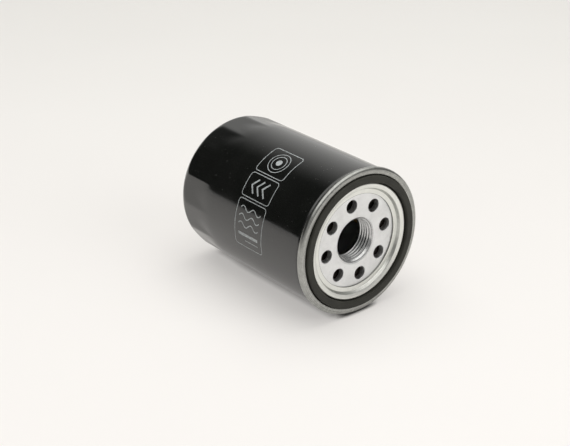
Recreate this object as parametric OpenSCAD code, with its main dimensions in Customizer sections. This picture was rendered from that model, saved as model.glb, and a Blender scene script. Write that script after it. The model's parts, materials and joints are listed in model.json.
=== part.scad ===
// Spin-on engine oil filter, lying on its side with its mouth towards -Y.
// The origin is the middle of the gasket's sealing face, and +Y runs into the filter along its axis.
// Profiles are drawn as [radius, station], where the station is the distance in from the sealing face.

/* [Can] */
// Outside diameter of the can
can_d = 66; // [62:0.5:82]
// Length from the gasket's sealing face to the closed end
overall_len = 92; // [74:0.5:130]
// Sheet thickness of the can
can_wall = 0.4; // [0.3:0.05:0.45]
// Outside radius of the corner at the closed end
corner_r = 8; // [5:0.5:10]
// Diameter of the shallow recess in the closed end
recess_d = 36; // [24:1:38]
// Depth of that recess
recess_depth = 0.8; // [0.2:0.1:1.2]
// Radial run of the slope round the recess
recess_slope = 3; // [2:0.5:5]

/* [Wrench flats] */
// Number of wrench flats round the closed end
flat_count = 15; // [12:1:16]
// Depth of a flat at its middle
flat_depth = 0.65; // [0.4:0.05:0.7]
// Length from the closed end to where the flats begin
flat_len = 24; // [18:0.5:28]
// Length over which a flat runs out into the round wall
flat_ramp = 8.5; // [2:0.5:10]
// Angle of a land between two flats, from +X towards +Z
flat_turn = 12.7; // [0:0.1:30]

/* [Rolled seam] */
// Sheet thickness of the seam plate
seam_sheet = 0.5; // [0.4:0.05:0.55]
// How far the can's wall is drawn in at the seam
neck_in = 0.65; // [0.2:0.05:0.7]
// Length over which the can's wall widens again behind the seam
neck_ramp = 1.2; // [0.8:0.1:3]
// Height of the seam, from its crest to its lower edge
seam_h = 2.5; // [2.4:0.05:3]
// Gap between the folded layers of the seam
seam_gap = 0.03; // [0.02:0.01:0.06]
// Thickness of the sealing compound in the crest
sealant_t = 0.24; // [0.1:0.02:0.3]
// Radial width of the crest, from the seam's outer wall to the gasket's groove, at the middle of the sheet
crest_w = 2.55; // [2.45:0.05:2.8]

/* [Gasket] */
// Width of the gasket's section
gasket_w = 3.25; // [3:0.05:4]
// Thickness of the gasket
gasket_t = 5; // [4.4:0.1:6]
// How far the sealing face stands proud of the seam's crest
gasket_proud = 1.1; // [0.5:0.1:1.5]
// Edge rounding of the gasket
gasket_edge = 0.5; // [0.3:0.1:1]
// Gap between the gasket and the outer wall of its channel
gasket_outer_gap = 0.29; // [0.15:0.01:0.6]
// Gap between the gasket and the inner wall of its channel
gasket_inner_gap = 0.3; // [0.1:0.05:0.6]

/* [Seam plate] */
// Height of the raised rim inside the gasket, above the base plate
rim_h = 2.8; // [2.4:0.05:3.2]
// Radial run of the rim's top, which falls a little inwards
rim_w = 2.15; // [1.8:0.05:2.4]
// How far the rim's top falls over that run
rim_fall = 0.85; // [0.5:0.05:1]
// Radial run of the wall from the rim down to the base plate
rim_slope = 0.8; // [0.6:0.05:1]
// Width of the flat ring that is welded to the base plate
weld_ring_w = 2.15; // [1.5:0.05:3]

/* [Base plate] */
// Distance from the sealing face to the plate's outer face
plate_drop = 4; // [3.6:0.05:4.6]
// Thickness of the plate
plate_t = 3.2; // [2:0.1:5]
// Major diameter of the thread
thread_d = 20; // [16:0.5:24]
// Pitch of the thread
thread_pitch = 1.5; // [1:0.25:2]
// Length of the drawn collar from the plate's outer face
collar_len = 9.6; // [7:0.1:12]
// Radius of the drawn-in lip at the thread's mouth
lip_r = 2.6; // [1:0.1:3]
// Wall of the collar behind the thread
collar_wall = 2.2; // [1.5:0.1:3]
// Number of inlet holes
inlet_count = 8; // [6:1:8]
// Diameter of an inlet hole
inlet_d = 6; // [4:0.1:6.4]
// Angle of the first inlet hole, from +X towards +Z
inlet_turn = 9.4; // [0:0.1:45]

/* [Anti-drain-back valve] */
// Wall of the hub round the collar
hub_w = 2.6; // [2:0.1:3]
// Length of the hub from the base plate to the element
hub_len = 6; // [5:0.1:8]
// Thickness of the rubber lip
flap_t = 1; // [0.8:0.1:1.4]
// Radial overlap of the lip past the inlet holes
flap_overlap = 3.6; // [2.5:0.1:4]
// How far the lip's root stands off the base plate
flap_rise = 2; // [1:0.1:2.6]

/* [Element] */
// Width of the oil space between the element and the can
oil_gap = 4.6; // [3:0.1:8]
// Sheet thickness of the end caps
cap_t = 0.4; // [0.3:0.05:0.6]
// Height of an end cap's skirt
skirt_h = 3.4; // [2:0.1:6]
// Thickness of the adhesive in an end cap
bond_t = 2; // [1:0.1:3]
// Wall of the perforated tube
tube_wall = 0.4; // [0.3:0.05:0.8]
// Diameter of the holes in the tube
tube_hole_d = 4; // [2:0.5:5]
// Holes round the tube, an even number
tube_hole_count = 8; // [4:2:10]
// Rows of holes along the tube
tube_hole_rows = 7; // [3:1:9]
// Number of pleats
pleat_count = 50; // [40:1:54]
// Thickness of the paper
paper_t = 0.5; // [0.3:0.05:0.6]
// Width of a pleat at its outer fold
pleat_tip_w = 1.8; // [1.5:0.05:2]
// Width of a pleat at its inner fold
pleat_root_w = 1.29; // [1.2:0.01:1.35]
// Radial depth of the clip that joins the paper's ends
clip_depth = 5; // [3:0.5:8]
// Sheet thickness of that clip
clip_t = 0.3; // [0.2:0.05:0.4]

/* [Bypass valve] */
// Diameter of the seat's orifice
orifice_d = 13; // [8:0.5:14]
// Width of the seat's sealing land
seat_land = 2.1; // [1:0.1:2.3]
// Sheet thickness of the seat and the cage
valve_sheet = 0.4; // [0.3:0.05:0.5]
// Thickness of the rubber washer
seal_t = 1.5; // [1:0.1:2.5]
// Thickness of the valve disc
poppet_t = 0.8; // [0.5:0.1:1.5]
// Diameter of the guide stem
stem_d = 4; // [3:0.1:5]
// Diameter of the stem's rivet head
stem_head_d = 8; // [6:0.5:9]
// Thickness of the rivet head and of the shoulder in front of the disc
stem_head_t = 1; // [0.6:0.1:1.5]
// Length of the cage from the seat to its end wall
cage_len = 16.8; // [14:0.1:22]
// Width of the cage's flange
cage_flange_w = 2.1; // [1.5:0.1:3]
// Number of windows in the cage
window_count = 4; // [3:1:5]
// Width of a window
window_w = 8; // [4:0.5:9]
// Wire of the bypass spring
wire_d = 0.9; // [0.7:0.05:1.1]
// Mean diameter of the bypass spring
coil_d = 11; // [10:0.1:12]
// Curls of the bypass spring
coil_count = 5; // [3:0.5:6]

/* [Element spring] */
// Sheet thickness of the leaf spring
leaf_t = 0.6; // [0.4:0.05:0.8]
// Height of the leaf spring between the element and the closed end
leaf_h = 6; // [4.5:0.1:9]
// Number of legs
leg_count = 4; // [3:1:6]
// Width of a leg
leg_w = 8; // [5:0.5:10]
// Inner diameter of its hub ring
leaf_hub_d = 21; // [20:0.5:24]
// Width of the hub ring
leaf_hub_w = 3.5; // [2.5:0.1:5]
// Radial length of a leg's foot
leaf_foot = 3; // [1.5:0.1:5]

/* [Clearances] */
// Radial running clearance of the stem in its guide
guide_gap = 0.06; // [0.02:0.01:0.1]
// Radial gap between pieces that are riveted, potted or pushed together
push_gap = 0.1; // [0.05:0.01:0.2]
// Radial gap between the element's neck and the collar that it slides on
neck_gap = 0.8; // [0.4:0.1:1.5]
// Radial gap between the element's neck and the tube round it
tube_gap = 1.2; // [0.8:0.1:2]
// Radial gap between paper and metal
paper_gap = 0.4; // [0.2:0.05:0.6]
// Radial gap between the base plate and the inner wall of the gasket's channel
plate_gap = 1.45; // [1:0.05:1.8]
// Radial gap for oil between the valve disc and its cage
flow_gap = 1.6; // [1:0.1:3]

/* [Hidden] */
$fn = 96;
bend_steps = 6;
cut = 1;

// Bend radii of the sheets at their middle, and small edge breaks; a fold keeps a short flat at its top
bend_land = 0.03;
crest_bend = 1.15;
groove_bend = 0.3;
rim_bend = 0.57;
slope_bend = 0.4;
channel_bend = 0.6;
cap_bend = 0.8;
cage_bend = 1;
leaf_bend = 2;
crimp_bend = 0.3;
edge_r = 0.4;
root_r = 1;

// Radii of the seam's layers, from the can's wall outwards and inwards
can_r = can_d / 2;
neck_r = can_r - neck_in;
body_wall_r = neck_r - can_wall / 2;
cover_hook_r = neck_r + seam_gap + seam_sheet / 2;
body_hook_r = cover_hook_r + seam_sheet / 2 + seam_gap + can_wall / 2;
seam_wall_r = body_hook_r + can_wall / 2 + seam_gap + seam_sheet / 2;
groove_r = seam_wall_r - crest_w;
flange_bend = (body_hook_r - body_wall_r) / 2 - bend_land;
hook_bend = (seam_wall_r - cover_hook_r) / 2 - bend_land;

// Stations of the seam
y_crest = gasket_proud;
y_crest_mid = y_crest + seam_sheet / 2;
y_flange_mid = y_crest + seam_sheet + sealant_t + seam_gap * 2 + can_wall / 2;
y_seam_low = y_crest + seam_h;
y_hook_mid = y_seam_low - seam_sheet / 2;
y_body_hook_end = y_seam_low - seam_sheet - seam_gap - can_wall / 2;
y_cover_hook_end = y_flange_mid + can_wall / 2 + seam_gap + seam_sheet / 2;
y_flange_low = y_seam_low + 0.1;
y_neck_start = y_flange_low + 0.1;
y_neck_end = y_neck_start + neck_ramp;

// Gasket, its channel and the seam plate inside it
gasket_out_r = groove_r - seam_sheet / 2 - gasket_outer_gap;
gasket_in_r = gasket_out_r - gasket_w;
channel_in_r = gasket_in_r - gasket_inner_gap - seam_sheet / 2;
rim_edge_r = channel_in_r - rim_w;
rim_foot_r = rim_edge_r - rim_slope;
opening_r = rim_foot_r - weld_ring_w;
y_rim_mid = plate_drop - rim_h + seam_sheet / 2;
y_channel_mid = gasket_t + seam_sheet / 2;
y_ring_mid = plate_drop - seam_sheet / 2;

// Base plate and its thread
thread_depth = thread_pitch * sqrt(3) / 2 * 5 / 8;
thread_minor_r = thread_d / 2 - thread_depth;
collar_r = thread_d / 2 + collar_wall;
plate_r = channel_in_r - seam_sheet / 2 - plate_gap;
y_plate_in = plate_drop + plate_t;
y_collar = plate_drop + collar_len;
inlet_r = (collar_r + opening_r) / 2;

// Grooves of the thread, as rings at its pitch between the lip and the collar's end
groove_mouth = thread_pitch * 3 / 8;
groove_root = thread_pitch / 16;
groove_count = floor((collar_len - lip_r - edge_r) / thread_pitch);
groove_first = (plate_drop + lip_r + y_collar - edge_r - (groove_count - 1) * thread_pitch) / 2;
thread_ridges = [
    for (i = [0:groove_count - 1])
        let (middle = groove_first + i * thread_pitch)
        each [[thread_minor_r, middle - groove_mouth, 0], [thread_d / 2, middle - groove_root, 0],
              [thread_d / 2, middle + groove_root, 0], [thread_minor_r, middle + groove_mouth, 0]]];

// Element, from the mouth to the closed end
element_r = can_r - can_wall - oil_gap;
skirt_mid_r = element_r - cap_t / 2;
neck_mid_r = collar_r + neck_gap + cap_t / 2;
tube_in_r = neck_mid_r + cap_t / 2 + tube_gap;
tube_r = tube_in_r + tube_wall;
bond_out_r = skirt_mid_r - cap_t / 2 - push_gap;
y_front = y_plate_in + hub_len;
y_media = y_front + cap_t + bond_t;
y_end_in = overall_len - can_wall;
y_rear = y_end_in - leaf_h;
y_media_end = y_rear - cap_t - bond_t;
media_len = y_media_end - y_media;
clip_gap = 0.1;
media_r = bond_out_r - clip_t - clip_gap - paper_gap / 2;
media_root_r = tube_r + paper_gap;

// Bypass valve, from its seat towards the mouth
y_seat = y_rear - cap_t;
y_seat_in = y_seat - valve_sheet;
y_seal = y_seat_in - seal_t;
y_poppet = y_seal - poppet_t;
y_flange_in = y_seat_in - valve_sheet;
y_cage_end = y_seat_in - cage_len;
seat_out_r = tube_in_r - 1;
seat_mid_r = seat_out_r - valve_sheet / 2;
flange_r = seat_out_r - valve_sheet - push_gap;
cage_r = flange_r - cage_flange_w;
poppet_r = cage_r - valve_sheet - flow_gap;
orifice_r = orifice_d / 2;
seal_r = orifice_r + seat_land;
stem_r = stem_d / 2;
guide_r = stem_r + guide_gap;
guide_len = 2;
stem_reach = 1.2;
shoulder_r = stem_r + 1;
cap_hole_r = orifice_r + 2.5;

// Leaf spring
leaf_out_r = can_r - corner_r - 0.5;
leaf_in_r = leaf_hub_d / 2;

// Outlines

function unit(v) = v / norm(v);
function flat(point) = [point[0], point[1]];
function reversed(list) = [for (i = [len(list) - 1:-1:0]) list[i]];
function short_turn(a) = a > 180 ? a - 360 : a < -180 ? a + 360 : a;

// Arc that rounds the corner b of the line a, b, c
function corner(a, b, c, radius) =
    let (u = unit(a - b))
    let (v = unit(c - b))
    let (half = acos(u * v) / 2)
    let (reach = radius / tan(half))
    let (hub = b + unit(u + v) * radius / sin(half))
    let (from = b + u * reach - hub)
    let (to = b + v * reach - hub)
    let (start = atan2(from[1], from[0]))
    let (turn = short_turn(atan2(to[1], to[0]) - start))
    [for (i = [0:bend_steps])
        let (a = start + turn * i / bend_steps)
        hub + radius * [cos(a), sin(a)]];

// Closed outline of [radius, station, rounding] points
function rounded(points) =
    let (n = len(points))
    [for (i = [0:n - 1])
        each points[i][2] > 0
            ? corner(flat(points[(i + n - 1) % n]), flat(points[i]), flat(points[(i + 1) % n]), points[i][2])
            : [flat(points[i])]];

// Open line of [radius, station, bend] points
function bent(points) =
    let (last = len(points) - 1)
    [for (i = [0:last])
        each i > 0 && i < last && points[i][2] > 0
            ? corner(flat(points[i - 1]), flat(points[i]), flat(points[i + 1]), points[i][2])
            : [flat(points[i])]];

// The line moved sideways by a distance
function beside(line, distance) =
    let (last = len(line) - 1)
    [for (i = [0:last])
        let (before = unit(line[max(i, 1)] - line[max(i, 1) - 1]))
        let (after = unit(line[min(i + 1, last)] - line[min(i + 1, last) - 1]))
        let (along = unit(before + after))
        line[i] + [-along[1], along[0]] * distance / (along * before)];

// Outline of a sheet whose middle follows the points
function sheet(points, thickness) =
    let (line = bent(points))
    concat(beside(line, thickness / 2), reversed(beside(line, -thickness / 2)));

// Placing

module lay() rotate([-90, 0, 0]) children();
module spin(outline) lay() rotate_extrude() polygon(outline);
module around(count, turn) for (i = [0:count - 1]) rotate([0, 0, -turn - i * 360 / count]) children();
module at(station) translate([0, 0, station]) children();
module tube(outer, inner, from, to) lay() at(from) difference() {
    cylinder(r = outer, h = to - from);
    at(-cut) cylinder(r = inner, h = to - from + cut * 2);
}

// Can

// Half section of the can's drawn form, moved in by a wall
function can_section(inset, from) = bent([
    [0, from, 0],
    [neck_r - inset, from, 0],
    [neck_r - inset, y_neck_start, 0],
    [can_r - inset, y_neck_end, 0],
    [can_r - inset, overall_len - inset, corner_r - inset],
    [recess_d / 2, overall_len - inset, 0],
    [recess_d / 2 - recess_slope, overall_len - recess_depth - inset, 0],
    [0, overall_len - recess_depth - inset, 0]]);

// Room that the flats leave: round up to the ramp, then a prism with rounded-off corners
module flats_room(inset) {
    flat_r = can_r - flat_depth - inset;
    y_flat = overall_len - flat_len;
    slope = flat_depth / flat_ramp;
    tip_r = flat_r / cos(180 / flat_count);
    rotate_extrude() polygon([
        [0, 0],
        [can_r + cut - inset, 0],
        [can_r + cut - inset, y_flat - cut / slope],
        [flat_r - cut, y_flat + flat_ramp + cut / slope],
        [0, y_flat + flat_ramp + cut / slope]]);
    at(y_flat - cut / slope / 2) linear_extrude(flat_len + cut / slope) polygon([
        for (i = [0:flat_count - 1])
            let (a = -flat_turn - i * 360 / flat_count)
            tip_r * [cos(a), sin(a)]]);
}

module can_form(inset, from) intersection() {
    rotate_extrude() polygon(can_section(inset, from));
    flats_room(inset);
}

// Flange of the can, folded out and down inside the seam
flange_line = [
    [body_hook_r, y_body_hook_end, 0],
    [body_hook_r, y_flange_mid, flange_bend],
    [body_wall_r, y_flange_mid, flange_bend],
    [body_wall_r, y_flange_low, 0]];

module can() color("#16161a") lay() {
    rotate_extrude() polygon(sheet(flange_line, can_wall));
    difference() {
        can_form(0, y_flange_low);
        can_form(can_wall, y_flange_low - cut);
    }
}

// Seam plate: weld ring, raised rim, gasket channel, flat crest, and the seam rolled over the can's flange
module seam_plate() color("#d8dad2") spin(sheet([
    [opening_r, y_ring_mid, 0],
    [rim_foot_r, y_ring_mid, slope_bend],
    [rim_edge_r, y_rim_mid + rim_fall, slope_bend],
    [channel_in_r, y_rim_mid, rim_bend],
    [channel_in_r, y_channel_mid, channel_bend],
    [groove_r, y_channel_mid, channel_bend],
    [groove_r, y_crest_mid, groove_bend],
    [seam_wall_r, y_crest_mid, crest_bend],
    [seam_wall_r, y_hook_mid, hook_bend],
    [cover_hook_r, y_hook_mid, hook_bend],
    [cover_hook_r, y_cover_hook_end, 0]], seam_sheet));

// Compound that fills the space between the crest and the can's flange
module seam_sealant() color("#5c6b4a") spin(sheet([
    [body_wall_r - sealant_t, y_crest + seam_sheet + seam_gap + sealant_t / 2, 0],
    [seam_wall_r - crest_bend, y_crest + seam_sheet + seam_gap + sealant_t / 2, 0]], sealant_t));

module gasket() color("#26262a") spin(rounded([
    [gasket_in_r, 0, gasket_edge],
    [gasket_out_r, 0, gasket_edge],
    [gasket_out_r, gasket_t, gasket_edge],
    [gasket_in_r, gasket_t, gasket_edge]]));

// Base plate with its drawn collar and inlet holes
module base_plate() color("#c9cbcc") difference() {
    spin(rounded([
        [plate_r, plate_drop, edge_r],
        [thread_minor_r, plate_drop, lip_r],
        each thread_ridges,
        [thread_minor_r, y_collar - edge_r, 0],
        [thread_minor_r + edge_r, y_collar, 0],
        [collar_r, y_collar, edge_r],
        [collar_r, y_plate_in, root_r],
        [plate_r, y_plate_in, edge_r]]));
    lay() around(inlet_count, inlet_turn) translate([inlet_r, 0, plate_drop - cut])
        cylinder(d = inlet_d, h = plate_t + cut * 2);
}

// Rubber diaphragm: a hub clamped between the base plate and the element, and a sealing lip
module anti_drain_back_valve() {
    hub_in_r = collar_r + push_gap;
    hub_out_r = collar_r + hub_w;
    foot_r = hub_out_r - 1;
    lip_r_out = inlet_r + inlet_d / 2 + flap_overlap;
    y_root = y_plate_in + flap_rise;
    color("#33302e") spin(rounded([
        [hub_in_r, y_plate_in + root_r + push_gap, 0],
        [hub_in_r + root_r, y_plate_in, 0],
        [foot_r, y_plate_in, 0],
        [foot_r, y_root, edge_r],
        [lip_r_out - flap_t * 2, y_plate_in + edge_r, 0],
        [lip_r_out - flap_t * 1.5, y_plate_in, 0],
        [lip_r_out, y_plate_in, 0],
        [lip_r_out - flap_t, y_plate_in + flap_t + edge_r, edge_r],
        [hub_out_r, y_root + flap_t * 1.5, edge_r],
        [hub_out_r, y_front, edge_r],
        [hub_in_r, y_front, 0]]));
}

// Element

module end_cap(inner, outer) color("#b4b6ad") spin(sheet(concat(inner, outer), cap_t));

module front_end_cap() end_cap(
    [[neck_mid_r, y_media + bond_t, 0], [neck_mid_r, y_front + cap_t / 2, cap_bend]],
    [[skirt_mid_r, y_front + cap_t / 2, cap_bend], [skirt_mid_r, y_front + skirt_h, 0]]);

module rear_end_cap() end_cap(
    [[cap_hole_r, y_rear - cap_t / 2, 0]],
    [[skirt_mid_r, y_rear - cap_t / 2, cap_bend], [skirt_mid_r, y_rear - skirt_h, 0]]);

// Adhesive ring whose rounded outer corner follows the cap's bend
module bond_ring(inner, y_cap, y_open) color("#8f4a2b") spin(rounded([
    [inner, y_cap, 0],
    [bond_out_r, y_cap, cap_bend],
    [bond_out_r, y_open, 0],
    [inner, y_open, 0]]));

module front_bond_ring() bond_ring(neck_mid_r + cap_t / 2 + cap_bend, y_front + cap_t, y_media);
module rear_bond_ring() bond_ring(seat_out_r + push_gap, y_rear - cap_t, y_media_end);

module centre_tube() {
    pitch = media_len / tube_hole_rows;
    color("#a9abad") difference() {
        tube(tube_r, tube_in_r, y_media, y_media_end);
        for (row = [0:tube_hole_rows - 1])
            lay() at(y_media + pitch * (row + 0.5))
                around(tube_hole_count / 2, row % 2 * 180 / tube_hole_count)
                    rotate([0, 90, 0]) at(-tube_r - cut) cylinder(d = tube_hole_d, h = (tube_r + cut) * 2);
    }
}

// Closed zigzag of the paper's outer or inner face, moved in by a depth
function zigzag(inset) = [
    for (i = [0:pleat_count - 1])
        let (middle = i * 360 / pleat_count)
        let (tip = (pleat_tip_w / 2 - inset) / media_r * 180 / PI)
        let (root = (pleat_root_w / 2 - inset) / media_root_r * 180 / PI)
        for (fold = [[media_r - inset, -tip], [media_r - inset, tip],
                     [media_root_r + paper_t - inset, root],
                     [media_root_r + paper_t - inset, 360 / pleat_count - root]])
            fold[0] * [cos(middle + fold[1]), sin(middle + fold[1])]];

module pleated_media() color("#d9b56a") lay() at(y_media) linear_extrude(media_len) difference() {
    polygon(zigzag(0));
    polygon(zigzag(paper_t));
}

// Channel folded over the pleat where the paper's two ends meet
module media_seam_clip() {
    inside = pleat_tip_w / 2 + clip_gap;
    outside = inside + clip_t;
    color("#9a9c9e") lay() at(y_media) linear_extrude(media_len) difference() {
        translate([media_r - clip_depth, -outside]) square([clip_depth + clip_gap + clip_t, outside * 2]);
        translate([media_r - clip_depth - cut, -inside]) square([clip_depth + cut + clip_gap, inside * 2]);
    }
}

// Bypass valve

// Seat crimped round the cage's flange
module bypass_seat() color("#b9bab4") spin(sheet([
    [orifice_r, y_seat - valve_sheet / 2, 0],
    [seat_mid_r, y_seat - valve_sheet / 2, crimp_bend],
    [seat_mid_r, y_flange_in - valve_sheet / 2, crimp_bend],
    [flange_r - 0.6, y_flange_in - valve_sheet / 2, 0]], valve_sheet));

module bypass_seal() color("#2b2b2b") tube(seal_r, stem_r + push_gap, y_seal, y_seat_in);

module bypass_poppet() color("#c0c2c4") tube(poppet_r, stem_r + push_gap, y_poppet, y_seal);

// Rivet: head on the washer, shoulder in front of the disc, and the guide end
module bypass_stem() {
    y_tip = y_cage_end - valve_sheet - stem_reach;
    color("#d0d2d4") spin(rounded([
        [0, y_tip, 0],
        [stem_r, y_tip, edge_r],
        [stem_r, y_poppet - stem_head_t, 0],
        [shoulder_r, y_poppet - stem_head_t, 0],
        [shoulder_r, y_poppet, 0],
        [stem_r, y_poppet, 0],
        [stem_r, y_seat_in, 0],
        [stem_head_d / 2, y_seat_in, 0],
        [stem_head_d / 2, y_seat_in + stem_head_t, edge_r],
        [0, y_seat_in + stem_head_t, 0]]));
}

// Spring cage with a drawn guide for the stem
module bypass_cage() {
    window_len = cage_len - cage_bend * 2 - seal_t - poppet_t - valve_sheet * 2;
    color("#b9bab4") difference() {
        spin(sheet([
            [guide_r + valve_sheet / 2, y_cage_end + guide_len, 0],
            [guide_r + valve_sheet / 2, y_cage_end - valve_sheet / 2, crimp_bend],
            [cage_r - valve_sheet / 2, y_cage_end - valve_sheet / 2, cage_bend],
            [cage_r - valve_sheet / 2, y_seat_in - valve_sheet / 2, crimp_bend],
            [flange_r, y_seat_in - valve_sheet / 2, 0]], valve_sheet));
        lay() around(window_count, 0) translate([0, -window_w / 2, y_cage_end + cage_bend])
            cube([cage_r + cut, window_w, window_len]);
    }
}

// Path of the coil: a square end, the curls, and a square end
curl_points = 8;
wire_sides = 6;
coil_low = y_cage_end + wire_d;
coil_high = y_poppet - wire_d;
coil_steps = round(coil_count * curl_points);

function coil_point(turn, station) = [coil_d / 2 * cos(turn), coil_d / 2 * sin(turn), station];

coil_path = concat(
    [coil_point(0, y_cage_end)],
    [for (i = [0:coil_steps])
        coil_point(i * 360 / curl_points, coil_low + (coil_high - coil_low) * i / coil_steps)],
    [coil_point(coil_steps * 360 / curl_points, y_poppet)]);

coil_self_gap = min([
    for (i = [0:len(coil_path) - 1])
        for (j = [i + curl_points - 2:1:len(coil_path) - 1])
            norm(coil_path[i] - coil_path[j])]) - wire_d;
echo(str("bypass spring, least gap to itself: ", coil_self_gap, " mm"));

// Ring of wire points round one point of the path
function wire_ring(path, i) =
    let (last = len(path) - 1)
    let (end = i == 0 || i == last)
    let (along = end ? [0, 0, 1] : unit(path[i + 1] - path[i - 1]))
    let (out = unit([path[i][0], path[i][1], 0]))
    let (side = unit(out - along * (out * along)))
    let (up = cross(along, side))
    [for (k = [0:wire_sides - 1])
        let (a = k * 360 / wire_sides)
        path[i] + wire_d / 2 * (cos(a) * side + sin(a) * up)];

module bypass_spring() {
    last = len(coil_path) - 1;
    points = [for (i = [0:last]) each wire_ring(coil_path, i)];
    skin = [for (i = [0:last - 1], k = [0:wire_sides - 1])
        let (a = i * wire_sides + k)
        let (b = i * wire_sides + (k + 1) % wire_sides)
        each [[a, a + wire_sides, b], [b, a + wire_sides, b + wire_sides]]];
    low_end = [for (k = [1:wire_sides - 2]) [0, k, k + 1]];
    high_end = [for (k = [1:wire_sides - 2])
        [last * wire_sides, last * wire_sides + k + 1, last * wire_sides + k]];
    color("#8d9094") lay() polyhedron(points, concat(skin, low_end, high_end));
}

// Leaf spring: a hub ring on the element and legs that stand on the closed end
module element_spring() {
    leg_in_r = leaf_in_r + leaf_hub_w;
    color("#7d8287") lay() intersection() {
        rotate_extrude() polygon(sheet([
            [leaf_in_r, y_rear + leaf_t / 2, 0],
            [leg_in_r, y_rear + leaf_t / 2, leaf_bend],
            [leaf_out_r - leaf_foot, y_end_in - leaf_t / 2, leaf_bend],
            [leaf_out_r, y_end_in - leaf_t / 2, 0]], leaf_t));
        union() {
            at(y_rear - cut) cylinder(r = leg_in_r, h = leaf_h + cut * 2);
            around(leg_count, 45) translate([0, -leg_w / 2, y_rear - cut])
                cube([can_r, leg_w, leaf_h + cut * 2]);
        }
    }
}

can();
seam_plate();
seam_sealant();
base_plate();
gasket();
anti_drain_back_valve();
front_end_cap();
front_bond_ring();
centre_tube();
pleated_media();
media_seam_clip();
rear_bond_ring();
rear_end_cap();
bypass_seat();
bypass_seal();
bypass_poppet();
bypass_stem();
bypass_spring();
bypass_cage();
element_spring();
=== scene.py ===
"""Looks of a spin-on oil filter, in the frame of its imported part.

The frame is in metres: the axis runs along Y, the mouth faces -Y and +Z is up.
"""

import json
import math

import bmesh
import bpy
import numpy as np
from mathutils import Matrix, Vector


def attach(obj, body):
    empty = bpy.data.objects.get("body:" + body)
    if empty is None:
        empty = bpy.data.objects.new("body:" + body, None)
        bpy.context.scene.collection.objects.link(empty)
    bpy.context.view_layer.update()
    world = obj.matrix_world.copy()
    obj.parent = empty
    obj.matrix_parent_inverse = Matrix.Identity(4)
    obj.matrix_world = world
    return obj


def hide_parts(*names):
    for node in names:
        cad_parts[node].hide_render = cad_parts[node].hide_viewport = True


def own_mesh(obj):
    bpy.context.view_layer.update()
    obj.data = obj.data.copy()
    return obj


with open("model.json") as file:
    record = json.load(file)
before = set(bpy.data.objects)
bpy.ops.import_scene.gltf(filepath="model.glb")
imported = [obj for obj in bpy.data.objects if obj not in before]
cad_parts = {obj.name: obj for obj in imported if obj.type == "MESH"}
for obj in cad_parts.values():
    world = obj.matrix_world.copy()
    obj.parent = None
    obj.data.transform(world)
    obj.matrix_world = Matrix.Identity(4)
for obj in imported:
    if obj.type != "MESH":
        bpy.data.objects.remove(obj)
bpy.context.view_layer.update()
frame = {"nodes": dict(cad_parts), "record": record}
nodes = frame["nodes"]

# Sizes in millimetres, as in the part's source: stations run in from the gasket's sealing face
MM = 0.001

# Can: wall and closed end, flats, and the flange that the seam holds
CAN_R, CAN_WALL, LENGTH, CORNER_R = 33.0, 0.4, 92.0, 8.0
RECESS_R, RECESS_SLOPE, RECESS_DEPTH, RECESS_ROUND, END_RING_R = 18.0, 3.0, 0.8, 1.6, 4
FLATS, FLAT_DEPTH, FLAT_FROM, FLAT_RAMP, FLAT_TURN = 15, 0.65, 68.0, 8.5, 12.7
FLAT_MARGIN, RAMP_BLEND, EDGE_BLEND, FLAT_SEGMENTS = 5, 0.3, 0.25, 26
NECK_STEP = 0.65
NECK_R = CAN_R - NECK_STEP
BODY_HOOK_R, BODY_HOOK_Y, FLANGE_Y, FLANGE_ROUND = 33.11, 2.87, 2.1, 0.45
FLANGE_END_Y, NECK_Y, SHOULDER_Y, SHOULDER_ROUND, WALL_FROM_Y = 3.7, 3.8, 5.0, 0.8, 10
WIDE_RINGS = np.linspace(12, 60, 13)
CLOSE_RINGS = np.arange(62, LENGTH - CORNER_R - 0.1, 0.5)
INNER_RINGS = (SHOULDER_Y, 66, 70, 76.5)

# Seam plate: weld ring, slope, rim, gasket channel and the rolled seam
SHEET = 0.5
OPENING_R, RIM_FOOT_R, RIM_EDGE_R, RIM_EDGE_Y = 21.6, 23.75, 24.55, 2.3
CHANNEL_R, CHANNEL_LIP_Y, CHANNEL_FLOOR_Y, GROOVE_R = 26.7, 1.45, 5.25, 31.04
SEAM_WALL_R, CREST_Y, WALL_END_Y = 33.59, 1.35, 3.35
COVER_HOOK_R, COVER_HOOK_Y = 32.63, 2.58

# Gasket
GASKET_IN_R, GASKET_OUT_R, GASKET_DEPTH, GASKET_EDGE = 27.25, 30.5, 5, 0.5

# Base plate: disc, drawn collar, thread and inlet holes
PLATE_Y, PLATE_T, PLATE_R, PLATE_EDGE = 4.0, 3.2, 25.0, 0.4
COLLAR_Y, COLLAR_R, COLLAR_EDGE, COLLAR_FILLET = 13.6, 12.2, 0.4, 1.0
MINOR_R, MAJOR_R, PITCH, LIP_R, BORE_START = 9.188, 10.0, 1.5, 2.6, 0.12
CHAMFER_LENGTH, CHAMFER_WIDTH = 0.4, 0.3
INLETS, INLET_R, INLET_D, INLET_TURN, INLET_EDGE = 8, 16.9, 6.0, 9.4, 0.28
FLAT_BORDER, LIP_OUT_R, PLATE_SEGMENTS, INLET_SEGMENTS = 0.12, 20, 240, 72

# Ridge of the thread: its ends, its turn at the start and its half widths
RIDGE_FROM, RIDGE_TO, RIDGE_TURN, RIDGE_STEPS, RIDGE_FADE = 4.75, 12.5, 150, 72, 0.3
ROOT_SINK, ROOT_HALF, CREST_ROUND, SHOULDER_HALF, CREST_HALF = 0.1, 0.70, 0.05, 0.22, 0.15
LIP_CLEARANCE = 0.01

# Coil of the bypass valve
COIL_FROM, COIL_TO, COIL_R, COIL_WIRE, COIL_TURNS = 68.0, 82.5, 5.5, 0.9, 5
COIL_STEPS, COIL_SIDES = 40, 12

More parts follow.
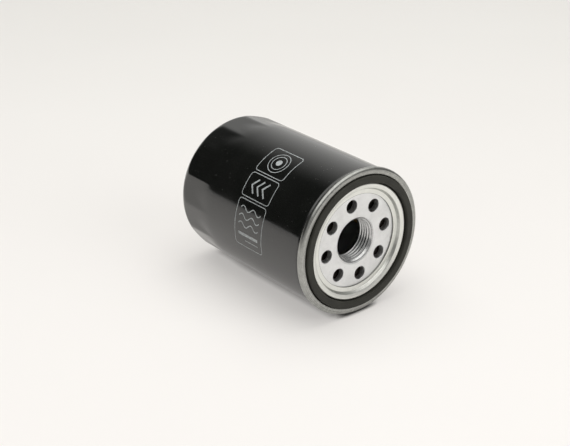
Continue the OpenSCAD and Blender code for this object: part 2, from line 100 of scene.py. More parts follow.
# Print on the can: its place, the film of ink, and the panels
PRINT_Y, PRINT_TURN, PANEL_WIDTH, PANEL_ROUND, LINE = 28.5, 105.0, 18.5, 1.6, 0.34
INK_LIFT, INK_SINK, INK_STEP, MITRE_LIMIT = 0.012, 0.03, 0.8, 0.5


# Outlines of [radius, station, rounding] points


def unit(v):
    return v / np.linalg.norm(v)


def corner(a, b, c, radius, steps):
    """Arc that rounds the corner b between a and c."""
    a, b, c = (np.array(p[:2], float) for p in (a, b, c))
    u, v = unit(a - b), unit(c - b)
    half = math.acos(max(-1, min(1, float(u @ v)))) / 2
    reach = radius / math.tan(half)
    hub = b + unit(u + v) * radius / math.sin(half)
    start, end = b + u * reach - hub, b + v * reach - hub
    first = math.atan2(start[1], start[0])
    turn = (math.atan2(end[1], end[0]) - first + math.pi) % (2 * math.pi) - math.pi
    turns = [first + turn * i / steps for i in range(steps + 1)]
    return [hub + radius * np.array([math.cos(t), math.sin(t)]) for t in turns]


def rounded(points, steps, closed=False):
    """Outline with its corners rounded; an open one keeps its first and last point."""
    out, n = [], len(points)
    for i, p in enumerate(points):
        if p[2] > 0 and (closed or 0 < i < n - 1):
            out += corner(points[i - 1], p, points[(i + 1) % n], p[2], steps)
        else:
            out.append(np.array(p[:2], float))
    return out


def directions(line, i):
    """Directions into and out of one point of an open line."""
    last = len(line) - 1
    into, out_of = max(i, 1), min(i + 1, last)
    return unit(line[into] - line[into - 1]), unit(line[out_of] - line[out_of - 1])


def beside(line, gap):
    """Line at a gap to the left of an open line."""
    out = []
    for i, p in enumerate(line):
        before, after = directions(line, i)
        along = unit(before + after)
        out.append(p + np.array([-along[1], along[0]]) * gap / float(along @ before))
    return out


def sheet(points, thickness, steps=12):
    """Closed outline of a bent sheet, from its middle line."""
    line = rounded(points, steps)
    return beside(line, thickness / 2) + beside(line, -thickness / 2)[::-1]


# Meshes


def polar(r, y, turn):
    """Point in metres, from a radius, a station and a turn in radians."""
    return (r * math.cos(turn) * MM, y * MM, r * math.sin(turn) * MM)


def shaped(mesh, bm, sharp):
    """Object of a mesh taken from bm, smooth but for edges over an angle in degrees."""
    bmesh.ops.recalc_face_normals(bm, faces=bm.faces)
    bm.to_mesh(mesh)
    bm.free()
    mesh.shade_smooth()
    mesh.set_sharp_from_angle(angle=math.radians(sharp))
    obj = bpy.data.objects.new(mesh.name, mesh)
    bpy.context.scene.collection.objects.link(obj)
    return obj


def new_object(name, verts, faces, sharp=35):
    mesh = bpy.data.meshes.new(name)
    mesh.from_pydata([tuple(v) for v in verts], [], faces)
    bm = bmesh.new()
    bm.from_mesh(mesh)
    return shaped(mesh, bm, sharp)


def ring_faces(count, segments, closed):
    """Bands of faces between rings that follow one another in a list of points."""
    faces = []
    for i in range(count if closed else count - 1):
        j = (i + 1) % count
        for k in range(segments):
            m = (k + 1) % segments
            faces.append((i * segments + k, i * segments + m, j * segments + m, j * segments + k))
    return faces


def lathe(name, outline, segments=360):
    turns = np.arange(segments) * 2 * math.pi / segments
    verts = [polar(r, y, t) for r, y in outline for t in turns]
    return new_object(name, verts, ring_faces(len(outline), segments, True))


# Shader nodes

# Most of a noise lies between these values
NOISE_LOW, NOISE_HIGH = 0.3, 0.7


def shader(name):
    mat = bpy.data.materials.new(name)
    mat.use_nodes = True
    tree = mat.node_tree
    return mat, tree, tree.nodes["Principled BSDF"]


def link(tree, out, into):
    tree.links.new(out, into)


def math_node(tree, kind, a, b=None):
    n = tree.nodes.new("ShaderNodeMath")
    n.operation = kind
    for socket, value in zip(n.inputs, (a, b)):
        if value is None:
            continue
        if isinstance(value, (int, float)):
            socket.default_value = value
        else:
            link(tree, value, socket)
    return n.outputs[0]


def times(tree, a, b):
    return math_node(tree, "MULTIPLY", a, b)


def plus(tree, a, b):
    return math_node(tree, "ADD", a, b)


def place(tree):
    return tree.nodes.new("ShaderNodeTexCoord").outputs["Object"]


def split_xyz(tree, where):
    n = tree.nodes.new("ShaderNodeSeparateXYZ")
    link(tree, where, n.inputs[0])
    return n.outputs


def distance(tree, a, b):
    """Distance from the origin of two coordinates."""
    return math_node(tree, "SQRT", plus(tree, times(tree, a, a), times(tree, b, b)))


def turned_place(tree, circle=0.0002):
    """Four coordinates that streak round the axis.

    They are the radius, the station and two of the turn as a small circle, which has no start.
    """
    x, y, z = split_xyz(tree, place(tree))
    radius = distance(tree, x, z)
    across, upward = (times(tree, math_node(tree, "DIVIDE", v, radius), circle) for v in (x, z))
    join = tree.nodes.new("ShaderNodeCombineXYZ")
    for value, socket in zip((radius, y, across), join.inputs):
        link(tree, value, socket)
    return join.outputs[0], upward


def noise(tree, where, scale, detail=3.0, rough=0.55, fourth=None):
    n = tree.nodes.new("ShaderNodeTexNoise")
    if fourth is not None:
        n.noise_dimensions = "4D"
        link(tree, fourth, n.inputs["W"])
    n.inputs["Scale"].default_value = scale
    n.inputs["Detail"].default_value = detail
    n.inputs["Roughness"].default_value = rough
    link(tree, where, n.inputs["Vector"])
    return n.outputs[0]


def span(tree, value, low=NOISE_LOW, high=NOISE_HIGH, to_low=0, to_high=1, smooth=False):
    """Value carried from one range to another and held at its ends."""
    n = tree.nodes.new("ShaderNodeMapRange")
    if smooth:
        n.interpolation_type = "SMOOTHSTEP"
    link(tree, value, n.inputs["Value"])
    n.inputs["From Min"].default_value, n.inputs["From Max"].default_value = low, high
    n.inputs["To Min"].default_value, n.inputs["To Max"].default_value = to_low, to_high
    return n.outputs[0]


def mixed(tree, factor, a, b):
    """Mix of two colours, each a tuple or a socket."""
    n = tree.nodes.new("ShaderNodeMix")
    n.data_type = "RGBA"
    link(tree, factor, n.inputs[0])
    for socket, value in ((n.inputs[6], a), (n.inputs[7], b)):
        if isinstance(value, tuple):
            socket.default_value = (*value, 1)
        else:
            link(tree, value, socket)
    return n.outputs[2]


def mixed_shader(tree, factor, a, b):
    n = tree.nodes.new("ShaderNodeMixShader")
    for value, socket in zip((factor, a, b), n.inputs):
        link(tree, value, socket)
    return n.outputs[0]


def bump(tree, bsdf, height, strength, deep=0.0002):
    n = tree.nodes.new("ShaderNodeBump")
    n.inputs["Strength"].default_value = strength
    n.inputs["Distance"].default_value = deep
    link(tree, height, n.inputs["Height"])
    link(tree, n.outputs[0], bsdf.inputs["Normal"])


def scaled(color, k):
    return tuple(min(1.0, c * k) for c in color)


# Materials

ZONE_EDGE = 0.12
STREAK_SCALE, CLOUD_SCALE, SPOT_SCALE, MARK_SCALE = 5200, 160, 900, 700
SPOT_SHARE, SPOT_TONE, STREAK_BUMP, STREAK_DEEP = 0.12, 0.55, 0.12, 0.0001


def metal(name, color, rough, streak=0.5, tone=0.12, zones=()):
    """Sheet metal: fine streaks round the axis, cloudy patches, small dull spots, darker zones.

    A zone is its two radii, the darkest and palest share of the colour in it, and its roughness. A
    zone darkens a ring of the colour: real scuffs for some zones, painted shade or a painted dark
    reflection for others.
    """
    mat, tree, bsdf = shader(name)
    where, fourth = turned_place(tree)
    streaks = noise(tree, where, STREAK_SCALE, 4, fourth=fourth)
    cloud = noise(tree, place(tree), CLOUD_SCALE, 4)
    spots = span(tree, noise(tree, place(tree), SPOT_SCALE, 2), 0.62, 0.70)
    color_out = mixed(tree, span(tree, cloud), scaled(color, 1 - tone), scaled(color, 1 + tone / 2))
    color_out = mixed(tree, times(tree, spots, SPOT_SHARE), color_out, scaled(color, SPOT_TONE))
    rough_out = plus(tree, span(tree, streaks, to_low=rough * 0.85, to_high=rough * 1.2),
                     span(tree, cloud, to_low=-0.04, to_high=0.05))
    # each zone paints its ring darker, as real scuffs or as painted shade, as its constant says
    for start, end, low, high, zone_rough in zones:
        x, _, z = split_xyz(tree, place(tree))
        radius = distance(tree, x, z)
        inside = times(tree, span(tree, radius, (start - ZONE_EDGE) * MM, start * MM),
                       span(tree, radius, end * MM, (end + ZONE_EDGE) * MM, 1, 0))
        grain = noise(tree, place(tree), MARK_SCALE, 3)
        marks = span(tree, plus(tree, streaks, times(tree, grain, 0.5)), 0.55, 0.95)
        scuffs_and_shade = mixed(tree, marks, scaled(color, low), scaled(color, high))
        color_out = mixed(tree, inside, color_out, scuffs_and_shade)
        rough_out = plus(tree, rough_out, times(tree, inside, zone_rough - rough))
    link(tree, color_out, bsdf.inputs["Base Color"])
    link(tree, rough_out, bsdf.inputs["Roughness"])
    bsdf.inputs["Metallic"].default_value = 1.0
    bump(tree, bsdf, streaks, streak * STREAK_BUMP, STREAK_DEEP)
    return mat


def soft_solid(name, color, rough, grain=1400, height=0.25, tone=0.25, shine=0.3):
    """Rubber, compound or adhesive: cloudy tone and a fine moulded grain."""
    mat, tree, bsdf = shader(name)
    cloud = noise(tree, place(tree), 130, 4)
    fine = noise(tree, place(tree), grain, 3)
    color_out = mixed(tree, span(tree, cloud), scaled(color, 1 - tone), scaled(color, 1 + tone))
    link(tree, color_out, bsdf.inputs["Base Color"])
    rough_out = span(tree, fine, to_low=rough - 0.08, to_high=rough + 0.08)
    link(tree, rough_out, bsdf.inputs["Roughness"])
    bsdf.inputs["Specular IOR Level"].default_value = shine
    bump(tree, bsdf, fine, height)
    return mat


def enamel():
    """Gloss black paint: slight orange peel, faint smears and a few specks of dust."""
    black, worn_black, dust = (0.0045, 0.0051, 0.0045), (0.0075, 0.0082, 0.0075), (0.16, 0.16, 0.15)
    mat, tree, bsdf = shader("can_paint")
    smear = noise(tree, place(tree), 45, 5, 0.65)
    peel = noise(tree, place(tree), 420, 2)
    specks = span(tree, noise(tree, place(tree), 1300, 1), 0.775, 0.80)
    base = mixed(tree, span(tree, smear, 0.35, 0.65), black, worn_black)
    link(tree, mixed(tree, times(tree, specks, 0.5), base, dust), bsdf.inputs["Base Color"])
    rough = plus(tree, span(tree, smear, 0.35, 0.65, 0.09, 0.15), times(tree, specks, 0.4))
    link(tree, rough, bsdf.inputs["Roughness"])
    bsdf.inputs["IOR"].default_value = 1.75
    bump(tree, bsdf, peel, 0.04)
    return mat


def paper():
    """Resin-treated paper: cloudy tone and pale fibres."""
    brown, tan, pale_fibre = (0.26, 0.16, 0.06), (0.36, 0.24, 0.10), (0.46, 0.34, 0.18)
    mat, tree, bsdf = shader("filter_paper")
    fibre = noise(tree, place(tree), 2600, 5)
    cloud = noise(tree, place(tree), 260, 3)
    base = mixed(tree, span(tree, cloud), brown, tan)
    fibres = span(tree, fibre, 0.5, 0.75, 0, 0.4)
    link(tree, mixed(tree, fibres, base, pale_fibre), bsdf.inputs["Base Color"])
    link(tree, span(tree, fibre, to_low=0.78, to_high=0.92), bsdf.inputs["Roughness"])
    bump(tree, bsdf, fibre, 0.35)
    return mat


def ink():
    """Pale printing ink of uneven cover."""
    thin, full = (0.24, 0.26, 0.27), (0.42, 0.45, 0.46)
    mat, tree, bsdf = shader("print_ink")
    patch = noise(tree, place(tree), 900, 4)
    link(tree, mixed(tree, span(tree, patch, high=0.62), thin, full), bsdf.inputs["Base Color"])
    link(tree, span(tree, patch, to_low=0.38, to_high=0.55), bsdf.inputs["Roughness"])
    bump(tree, bsdf, patch, 0.08, 0.0001)
    return mat


# Darker ring at the cut edge: partly the raw sheared edge, partly painted shade of the gap between
# seam plate and base plate
CUT_EDGE_SHADE = (21.0, 21.66, 0.22, 0.4, 0.5)
# Darker ring on the slope to the rim: a painted dark reflection
SLOPE_DARK_REFLECTION = (23.75, 24.45, 0.5, 0.72, 0.3)
ROLLED_SEAM = (31.2, 35.0, 0.32, 0.58, 0.28)
# Darker ring in the threaded bore: painted shade inside the hole
THREADED_BORE_SHADE = (8.0, 10.5, 0.46, 0.84, 0.22)
MATERIALS = {
    "can_paint": enamel(),
    "tinned_sheet": metal("tinned_sheet", (0.82, 0.83, 0.79), 0.36, 0.3, 0.08,
                          (CUT_EDGE_SHADE, SLOPE_DARK_REFLECTION, ROLLED_SEAM)),
    "plate_steel": metal("plate_steel", (0.83, 0.84, 0.84), 0.42, 0.8, zones=(THREADED_BORE_SHADE,)),
    "gasket_rubber": soft_solid("gasket_rubber", (0.029, 0.029, 0.024), 0.62, 1900, 0.22, 0.18),
    "valve_rubber": soft_solid("valve_rubber", (0.026, 0.021, 0.017), 0.6),
    "sealant": soft_solid("sealant", (0.16, 0.17, 0.12), 0.7),
    "adhesive": soft_solid("adhesive", (0.30, 0.10, 0.05), 0.45, 900, 0.15),
    "cap_steel": metal("cap_steel", (0.66, 0.67, 0.65), 0.34),
    "tube_steel": metal("tube_steel", (0.58, 0.59, 0.60), 0.4),
    "clip_steel": metal("clip_steel", (0.55, 0.56, 0.57), 0.4),
    "valve_steel": metal("valve_steel", (0.66, 0.66, 0.63), 0.32),
    "spring_steel": metal("spring_steel", (0.36, 0.37, 0.39), 0.34),
    "filter_paper": paper(),
}
SLOTS = {s["node"]: s["material_slot"] for s in frame["record"]["subparts"]}
for name, obj in nodes.items():
    obj.data.materials.clear()
    obj.data.materials.append(MATERIALS[SLOTS[name]])


def finish_piece(obj, body, node):
    """Give a piece its material, and set it on a body in place of a node."""
    slot = SLOTS[node]
    obj.data.materials.clear()
    obj.data.materials.append(MATERIALS[slot])
    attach(obj, body)
    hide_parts(node)
    return obj


# Can, with flats pressed into the closed end and soft edges between them


def soft_min(a, b, blend):
    h = max(0.0, min(1.0, 0.5 + 0.5 * (b - a) / blend))
    return b + (a - b) * h - blend * h * (1 - h)


def soft_max(a, b, blend):
    return -soft_min(-a, -b, blend)


def can_radius(r, y, turn, inset):
    """Radius of the wall with its flats, at a turn in degrees and an inset from the outside."""
    if y <= FLAT_FROM - FLAT_MARGIN:
        return r
    step = 360 / FLATS
    off = (turn - FLAT_TURN) % step - step / 2
    flat = (CAN_R - FLAT_DEPTH - inset) / math.cos(math.radians(off))
    ramp = CAN_R - inset - FLAT_DEPTH * (y - FLAT_FROM) / FLAT_RAMP
    return soft_min(r, soft_max(ramp, flat, RAMP_BLEND), EDGE_BLEND)


def can_mesh():
    """Rings from the flange along the outside to the closed end, and back along the inside."""
    segments = FLATS * FLAT_SEGMENTS
    neck, wall_r, end_y = NECK_R - CAN_WALL / 2, CAN_R - CAN_WALL, LENGTH - CAN_WALL
    bend_y, slope_r = LENGTH - CORNER_R, RECESS_R - RECESS_SLOPE
    recess_y, recess_in_y = LENGTH - RECESS_DEPTH, end_y - RECESS_DEPTH
    flange = rounded([[BODY_HOOK_R, BODY_HOOK_Y, 0], [BODY_HOOK_R, FLANGE_Y, FLANGE_ROUND],
                      [neck, FLANGE_Y, FLANGE_ROUND], [neck, FLANGE_END_Y, 0]], 8)
    outside = beside(flange, -CAN_WALL / 2)
    outside += rounded([[NECK_R, NECK_Y, 0], [CAN_R, SHOULDER_Y, SHOULDER_ROUND],
                        [CAN_R, WALL_FROM_Y, 0]], 6)
    # wide rings on the plain wall, close ones over the flats
    outside += [(CAN_R, y) for y in WIDE_RINGS]
    outside += [(CAN_R, y) for y in CLOSE_RINGS]
    outside += rounded([[CAN_R, bend_y, 0], [CAN_R, LENGTH, CORNER_R],
                        [RECESS_R, LENGTH, RECESS_ROUND], [slope_r, recess_y, RECESS_ROUND],
                        [END_RING_R, recess_y, 0]], 18)[1:]
    inside = beside(flange, CAN_WALL / 2)
    inside += [(NECK_R - CAN_WALL, NECK_Y)] + [(wall_r, y) for y in INNER_RINGS]
    inside += rounded([[wall_r, bend_y, 0], [wall_r, end_y, CORNER_R - CAN_WALL],
                       [RECESS_R, end_y, 0], [slope_r, recess_in_y, 0],
                       [END_RING_R, recess_in_y, 0]], 8)[1:]
    rings = [(p, 0.0) for p in outside] + [(p, CAN_WALL) for p in inside[::-1]]
    turns = [360 * k / segments for k in range(segments)]
    verts = [polar(can_radius(r, y, t, inset), y, math.radians(t))
             for (r, y), inset in rings for t in turns]
    # no band joins the two skins at the middle of the end: each has a hub of its own
    last = len(outside) - 1
    bands = ring_faces(len(rings), segments, True)
    faces = [face for i, face in enumerate(bands) if i // segments != last]
    for i, y in ((last, recess_y), (last + 1, recess_in_y)):
        first, hub = i * segments, len(verts)
        verts.append((0, y * MM, 0))
        faces += [(first + k, first + (k + 1) % segments, hub) for k in range(segments)]
    return new_object("can_shell", verts, faces, 50)


finish_piece(can_mesh(), "housing", "can")

# Seam plate, along its middle line from the opening to the hook

seam_line = [
    [OPENING_R, PLATE_Y - SHEET / 2, 0], [RIM_FOOT_R, PLATE_Y - SHEET / 2, 0.4],
    [RIM_EDGE_R, RIM_EDGE_Y, 0.4], [CHANNEL_R, CHANNEL_LIP_Y, 0.57],
    [CHANNEL_R, CHANNEL_FLOOR_Y, 0.6], [GROOVE_R, CHANNEL_FLOOR_Y, 0.6],
    [GROOVE_R, CREST_Y, 0.3], [SEAM_WALL_R, CREST_Y, 1.15],
    [SEAM_WALL_R, WALL_END_Y, 0.45], [COVER_HOOK_R, WALL_END_Y, 0.45],
    [COVER_HOOK_R, COVER_HOOK_Y, 0]]
finish_piece(lathe("seam_ring", sheet(seam_line, SHEET)), "housing", "seam_plate")

# Gasket

gasket_line = [[r, y, GASKET_EDGE] for r, y in (
    (GASKET_IN_R, 0), (GASKET_OUT_R, 0), (GASKET_OUT_R, GASKET_DEPTH), (GASKET_IN_R, GASKET_DEPTH))]
finish_piece(lathe("gasket_ring", rounded(gasket_line, 8, closed=True)), "housing", "gasket")


# Base plate: drawn lip, wound thread, punched holes with rounded rims


def lip_front(r):
    """Station of the rounded lip's surface at a radius."""
    return PLATE_Y + LIP_R - math.sqrt(max(0.0, LIP_R ** 2 - (MINOR_R + LIP_R - r) ** 2))


def lip_radius(y):
    """Radius of the rounded lip's surface at a station, and of the bore behind it."""
    return MINOR_R + LIP_R - math.sqrt(LIP_R ** 2 - max(0.0, PLATE_Y + LIP_R - y) ** 2)


def wound_ridge(bm):
    """Ridge of the thread: it grows out of the rounded lip and fades out at its end."""
    steps = int((RIDGE_TO - RIDGE_FROM) / PITCH * RIDGE_STEPS)
    root = MAJOR_R + ROOT_SINK
    rows = []
    for i in range(steps + 1):
        turn = math.radians(RIDGE_TURN) + 2 * math.pi * i / RIDGE_STEPS
        y = RIDGE_FROM + PITCH * i / RIDGE_STEPS
        height = min(1.0, (steps - i) / (RIDGE_STEPS * RIDGE_FADE))
        crest = max(lip_radius(y), MAJOR_R - (MAJOR_R - MINOR_R) * height)
        profile = ((root, -ROOT_HALF), (crest + CREST_ROUND, -SHOULDER_HALF), (crest, -CREST_HALF),
                   (crest, CREST_HALF), (crest + CREST_ROUND, SHOULDER_HALF), (root, ROOT_HALF))
        rows.append([bm.verts.new(polar(r, max(y + dy, lip_front(r) + LIP_CLEARANCE), turn))
                     for r, dy in profile])
    sides = len(rows[0])
    for a, b in zip(rows, rows[1:]):
        for k in range(sides):
            m = (k + 1) % sides
            bm.faces.new((a[k], b[k], b[m], a[m]))
    bm.faces.new(rows[0])
    bm.faces.new(rows[-1])


def turned(bm, outline, segments, x=0.0, z=0.0):
    """Skin of an outline spun round an axis along Y; gives its first and last rings."""
    turns = [2 * math.pi * k / segments for k in range(segments)]
    rings = [[bm.verts.new(((x + r * math.cos(t)) * MM, y * MM, (z + r * math.sin(t)) * MM))
              for t in turns] for r, y in outline]
    for a, b in zip(rings, rings[1:]):
        for k in range(segments):
            m = (k + 1) % segments
            bm.faces.new((a[k], a[m], b[m], b[k]))
    return rings[0], rings[-1]


def base_plate_mesh():
    """Turned bore and rim, rounded holes, and flat faces between them.

    A narrow flat ring borders every rounding.
    """
    back = PLATE_Y + PLATE_T
    lip = rounded([[LIP_OUT_R, PLATE_Y, 0], [MINOR_R, PLATE_Y, LIP_R], [MINOR_R, COLLAR_Y, 0]], 24)
    lip = [p for p in lip[1:] if p[0] > MAJOR_R]
    bore = [(lip[0][0] + FLAT_BORDER, PLATE_Y)] + lip
    bore += [(MAJOR_R, lip[-1][1] + BORE_START), (MAJOR_R, COLLAR_Y - CHAMFER_LENGTH),
             (MAJOR_R + CHAMFER_WIDTH, COLLAR_Y)]
    bore += rounded([[COLLAR_R - 1, COLLAR_Y, 0], [COLLAR_R, COLLAR_Y, COLLAR_EDGE],
                     [COLLAR_R, back, COLLAR_FILLET],
                     [COLLAR_R + COLLAR_FILLET + FLAT_BORDER, back, 0]], 6)
    rim_r = PLATE_R - PLATE_EDGE - FLAT_BORDER
    rim = rounded([[rim_r, back, 0], [PLATE_R, back, PLATE_EDGE], [PLATE_R, PLATE_Y, PLATE_EDGE],
                   [rim_r, PLATE_Y, 0]], 6)
    hole_r = INLET_D / 2
    border_r = hole_r + INLET_EDGE + FLAT_BORDER
    hole = rounded([[border_r, PLATE_Y, 0], [hole_r, PLATE_Y, INLET_EDGE],
                    [hole_r, back, INLET_EDGE], [border_r, back, 0]], 5)
    bm = bmesh.new()
    bore_front, bore_back = turned(bm, bore, PLATE_SEGMENTS)
    rim_back, rim_front = turned(bm, rim, PLATE_SEGMENTS)
    fronts, backs = [bore_front, rim_front], [bore_back, rim_back]
    for i in range(INLETS):
        turn = math.radians(INLET_TURN + 360 / INLETS * i)
        x, z = INLET_R * math.cos(turn), INLET_R * math.sin(turn)
        near, far = turned(bm, hole, INLET_SEGMENTS, x, z)
        fronts.append(near)
        backs.append(far)
    for loops in (fronts, backs):
        edges = [bm.edges.get((v, loop[i - 1])) for loop in loops for i, v in enumerate(loop)]
        bmesh.ops.triangle_fill(bm, edges=edges, use_beauty=True, use_dissolve=False)
    wound_ridge(bm)
    return shaped(bpy.data.meshes.new("base_plate_disc"), bm, 28)


finish_piece(base_plate_mesh(), "housing", "base_plate")


# Springs and the rubber diaphragm, each on a mesh of its own


def wire_skin(path, radius, sides):
    """Points and faces of a round wire along a path round the axis."""
    path = [np.array(p, float) for p in path]
    verts, last = [], len(path) - 1
    for i, p in enumerate(path):
        along = unit(path[min(i + 1, last)] - path[max(i - 1, 0)])
        out = unit(np.array([p[0], 0, p[2]]))
        side = unit(out - along * float(out @ along))
        other = np.cross(along, side)
        for k in range(sides):
            a = 2 * math.pi * k / sides
            verts.append(p + radius * (math.cos(a) * side + math.sin(a) * other))
    faces = ring_faces(len(path), sides, False)
    faces += [tuple(range(sides)), tuple(last * sides + k for k in range(sides))]
    return verts, faces


def coil_mesh():
    """Coil with its ends bent along the axis onto the cage and the disc."""
    steps = COIL_TURNS * COIL_STEPS
    rise = COIL_TO - COIL_FROM - 2 * COIL_WIRE
    path = [polar(COIL_R, COIL_FROM, 0), polar(COIL_R, COIL_FROM + COIL_WIRE * 0.5, 0)]
    path += [polar(COIL_R, COIL_FROM + COIL_WIRE + rise * i / steps, -2 * math.pi * i / COIL_STEPS)
             for i in range(1, steps)]
    path += [polar(COIL_R, COIL_TO - COIL_WIRE * 0.5, 0), polar(COIL_R, COIL_TO, 0)]
    return new_object("bypass_coil", *wire_skin(path, COIL_WIRE / 2 * MM, COIL_SIDES), 60)


def copy_of(node, name):
    obj = bpy.data.objects.new(name, nodes[node].data.copy())
    bpy.context.scene.collection.objects.link(obj)
    obj.data.shade_smooth()
    obj.data.set_sharp_from_angle(angle=math.radians(35))
    return obj


coil = finish_piece(coil_mesh(), "element", "bypass_spring")
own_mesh(coil)
leaf = finish_piece(copy_of("element_spring", "leaf_spring"), "housing", "element_spring")
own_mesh(leaf)
flap = copy_of("anti_drain_back_valve", "rubber_diaphragm")
finish_piece(flap, "housing", "anti_drain_back_valve")
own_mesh(flap)


# Print on the can: thin pale lines of ink, three framed panels with plain shapes


class Print:
    """Strokes in millimetres, x along the axis and u round the can: closed films on the wall."""

    def __init__(self):
        self.verts, self.faces = [], []

    def add_point(self, x, u, lift):
        self.verts.append(polar(CAN_R + lift, PRINT_Y + x, math.radians(PRINT_TURN) + u / CAN_R))

    def stroke(self, points, width, closed=False):
        points = [np.array(p, float) for p in points]
        if closed:
            points.append(points[0])
        fine = [points[0]]
        for p, q in zip(points, points[1:]):
            n = max(1, int(np.linalg.norm(q - p) / INK_STEP))
            fine += [p + (q - p) * (i + 1) / n for i in range(n)]
        if closed:
            fine.pop()
        n, start = len(fine), len(self.verts)
        for i, p in enumerate(fine):
            if closed:
                before, after = unit(p - fine[i - 1]), unit(fine[(i + 1) % n] - p)
            else:
                before, after = directions(fine, i)
            along = unit(before + after)
            mitre = max(MITRE_LIMIT, float(along @ before))
            off = np.array([-along[1], along[0]]) * width / 2 / mitre
            for q, lift in ((p + off, INK_LIFT), (p - off, INK_LIFT),
                            (p - off, -INK_SINK), (p + off, -INK_SINK)):
                self.add_point(*q, lift)
        for i in range(n if closed else n - 1):
            a, b = start + 4 * i, start + 4 * ((i + 1) % n)
            self.faces += [(a + k, a + (k + 1) % 4, b + (k + 1) % 4, b + k) for k in range(4)]
        if not closed:
            last = start + 4 * (n - 1)
            self.faces += [tuple(range(start, start + 4)), tuple(range(last, last + 4))]

    def disc(self, x, u, radius, sides=28):
        start = len(self.verts)
        for lift in (INK_LIFT, -INK_SINK):
            hub = len(self.verts)
            self.add_point(x, u, lift)
            for p in circle(x, u, radius, sides):
                self.add_point(*p, lift)
            self.faces += [(hub, hub + 1 + k, hub + 1 + (k + 1) % sides) for k in range(sides)]
        for k in range(sides):
            a, b = start + 1 + k, start + 1 + (k + 1) % sides
            self.faces.append((a, b, b + sides + 1, a + sides + 1))

    def panel(self, u0, u1):
        """Frame with rounded corners, over the full width of the print."""
        left, right = PANEL_ROUND, PANEL_WIDTH - PANEL_ROUND
        low, high = u0 + PANEL_ROUND, u1 - PANEL_ROUND
        corners = ((right, high, 0), (left, high, 90), (left, low, 180), (right, low, 270))
        points = []
        for x, u, first in corners:
            for i in range(7):
                a = math.radians(first + 15 * i)
                points.append((x + PANEL_ROUND * math.cos(a), u + PANEL_ROUND * math.sin(a)))
        self.stroke(points, LINE, True)


def circle(x, u, radius, count):
    turns = [2 * math.pi * k / count for k in range(count)]
    return [(x + radius * math.cos(t), u + radius * math.sin(t)) for t in turns]


def print_mesh():
    art = Print()
    # nested rings round a dot
    art.panel(0, 14.5)
    middle = (PANEL_WIDTH / 2, 7.25)
    for radius in (5.4, 3.7):
        art.stroke(circle(*middle, radius, 40), LINE, True)
    art.disc(*middle, 1.6)
    # three chevrons
    art.panel(15.8, 27.0)
    for x in (4.6, 8.2, 11.8):
        art.stroke([(x, 18.0), (x + 2.8, 21.4), (x, 24.8)], 0.8)
    # three waves of two periods over a bar and a line
    art.panel(28.3, 50.0)
    for u in (32.2, 35.8, 39.4):
        wave = [(2.4 + 13.7 * i / 48, u + math.sin(4 * math.pi * i / 48)) for i in range(49)]
        art.stroke(wave, LINE * 1.3)
    art.stroke([(2.6, 44.0), (PANEL_WIDTH - 2.6, 44.0)], 1.3)
    art.stroke([(2.6, 46.8), (PANEL_WIDTH - 7.0, 46.8)], LINE)
    return new_object("can_print", art.verts, art.faces)


printed = print_mesh()
printed.data.materials.append(ink())
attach(printed, "housing")

# Inner pieces keep their own meshes, smoothed
for obj in nodes.values():
    obj.data.shade_smooth()
    obj.data.set_sharp_from_angle(angle=math.radians(30))

# Floor through the seam's lowest point and the can's, which lie a little apart in height

BACKDROP = (0.83, 0.82, 0.80)
FLOOR_HALF = 4.0
SEAM_R, SEAM_FOOT_Y = 33.84, 2.9
CAMERA_HEADING = (0.634, 0.773)


def openness(tree, reach):
    """How little stands over the floor within a reach in metres."""
    n = tree.nodes.new("ShaderNodeAmbientOcclusion")
    n.inputs["Distance"].default_value = reach
    return n.outputs["AO"]


def floor_material():
    """Pale paper, half lit by the lamps and, for camera and reflection rays, half a glow in its own
    tone.

    A painted contact shadow darkens its colour and its glow where the object rests on it, and far
    away it fades into the backdrop.
    """
    mat, tree, bsdf = shader("pale_ground")
    where = place(tree)
    patch = noise(tree, where, 3.0, 3)
    grain = noise(tree, where, 700, 2)
    # painted contact shadow: the colour turns dark close under the object
    clear = span(tree, openness(tree, 0.0025), 0.35, 0.85)
    lit_tone = mixed(tree, span(tree, patch), (0.80, 0.785, 0.765), (0.83, 0.82, 0.80))
    link(tree, mixed(tree, clear, (0.12, 0.115, 0.11), lit_tone), bsdf.inputs["Base Color"])
    link(tree, span(tree, grain, to_low=0.55, to_high=0.65), bsdf.inputs["Roughness"])
    bsdf.inputs["Specular IOR Level"].default_value = 0.2
    x, y, _ = split_xyz(tree, where)
    away = plus(tree, times(tree, x, CAMERA_HEADING[0]), times(tree, y, CAMERA_HEADING[1]))
    # the glow is paler on the camera's side and darker away from it
    near_tone, far_tone = (0.955, 0.922, 0.898), (0.745, 0.735, 0.70)
    glow_tone = mixed(tree, span(tree, away, -0.10, 0.40), near_tone, far_tone)
    far = span(tree, distance(tree, x, y), 0.65, 1.7)
    glow = tree.nodes.new("ShaderNodeEmission")
    link(tree, mixed(tree, far, glow_tone, BACKDROP), glow.inputs["Color"])
    paths = tree.nodes.new("ShaderNodeLightPath").outputs
    seen = math_node(tree, "MAXIMUM", paths["Is Camera Ray"], paths["Is Glossy Ray"])
    # the glow's share also falls near the object: painted shadow
    share = times(tree, clear, span(tree, openness(tree, 0.0045), 0.1, 0.8, 0.08, 0.48))
    factor = times(tree, seen, math_node(tree, "MAXIMUM", share, far))
    surface = mixed_shader(tree, factor, bsdf.outputs[0], glow.outputs[0])
    link(tree, surface, tree.nodes["Material Output"].inputs["Surface"])
    return mat


floor_rise = (SEAM_R - CAN_R) / (FLAT_FROM - SEAM_FOOT_Y)
floor_corners = [(x * FLOOR_HALF, y * FLOOR_HALF) for x, y in ((-1, -1), (1, -1), (1, 1), (-1, 1))]
floor_points = [(x, y, (-SEAM_R * MM) + (y - SEAM_FOOT_Y * MM) * floor_rise)
                for x, y in floor_corners]
floor = new_object("floor", floor_points, [(0, 1, 2, 3)])
floor.data.materials.append(floor_material())

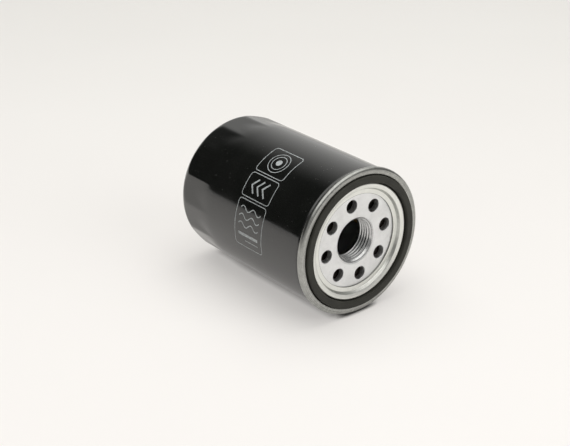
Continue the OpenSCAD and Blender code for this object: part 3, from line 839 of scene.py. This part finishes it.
# Soft studio light


def area(name, location, aim, width, height, watts, color):
    data = bpy.data.lights.new(name, "AREA")
    data.shape, data.size, data.size_y = "RECTANGLE", width, height
    data.energy, data.color = watts, color
    obj = bpy.data.objects.new(name, data)
    obj.location = location
    obj.rotation_euler = (Vector(aim) - Vector(location)).to_track_quat("-Z", "Y").to_euler()
    obj.visible_glossy = False
    bpy.context.scene.collection.objects.link(obj)


area("overhead", location=(0.05, 0.15, 1.0), aim=(0, 0.04, 0), width=1.3, height=1.0, watts=11.5,
     color=(1.0, 0.985, 0.96))
area("front_fill", location=(0.35, -1.1, 0.75), aim=(0, 0.03, 0), width=0.9, height=0.7, watts=5.5,
     color=(1.0, 0.99, 0.98))


def background(tree, color):
    n = tree.nodes.new("ShaderNodeBackground")
    n.inputs["Color"].default_value = (*color, 1)
    return n.outputs[0], n.inputs["Strength"]


def studio_world():
    """Dim room that lights the object, a pale backdrop for the camera, and a room for reflections.

    Reflections see the backdrop behind to the right, a soft light overhead, a grey room behind the
    camera and little else.
    """
    world = bpy.data.worlds.new("studio")
    bpy.context.scene.world = world
    world.use_nodes = True
    tree = world.node_tree
    tree.nodes.clear()
    x, y, z = split_xyz(tree, tree.nodes.new("ShaderNodeTexCoord").outputs["Generated"])
    nearer = times(tree, y, -1.0)

    def swell(value, low, high, top):
        return span(tree, value, low, high, 0, top, smooth=True)

    backdrop = times(tree, swell(x, -0.15, 0.75, 0.88), swell(y, -0.2, 0.6, 1.0))
    behind = swell(nearer, -0.2, 0.5, 0.35)
    above = times(tree, swell(z, 0.5, 0.8, 1.35), swell(nearer, -0.6, -0.2, 1.0))
    room, room_strength = background(tree, (1.0, 0.975, 0.94))
    room_strength.default_value = 0.35
    mirrored, mirrored_strength = background(tree, (1.0, 0.99, 0.965))
    link(tree, plus(tree, plus(tree, backdrop, behind), plus(tree, above, 0.02)), mirrored_strength)
    pale, pale_strength = background(tree, BACKDROP)
    pale_strength.default_value = 1.0
    paths = tree.nodes.new("ShaderNodeLightPath").outputs
    around = mixed_shader(tree, paths["Is Glossy Ray"], room, mirrored)
    seen = mixed_shader(tree, paths["Is Camera Ray"], around, pale)
    link(tree, seen, tree.nodes.new("ShaderNodeOutputWorld").inputs["Surface"])


studio_world()

# Camera, as fitted to the photograph

PHOTO_WIDTH = 570
camera = bpy.data.objects.new("camera", bpy.data.cameras.new("camera"))
camera.data.lens, camera.data.sensor_width = 80.57, 36.0
camera.data.clip_start, camera.data.clip_end = 0.01, 50.0
camera.data.shift_x, camera.data.shift_y = -0.5 / PHOTO_WIDTH, 0.55 / PHOTO_WIDTH
forward = Vector((0.57269, 0.69921, -0.42798))
right = Vector((0.77362, -0.63365, 0.0))
up = Vector((0.27119, 0.33105, 0.90379))
turn = Matrix((right, up, -forward)).transposed().to_4x4()
camera.matrix_world = Matrix.Translation((-0.33723, -0.35965, 0.24241)) @ turn
bpy.context.scene.collection.objects.link(camera)
bpy.context.scene.camera = camera
bpy.context.scene.view_settings.view_transform = "Standard"
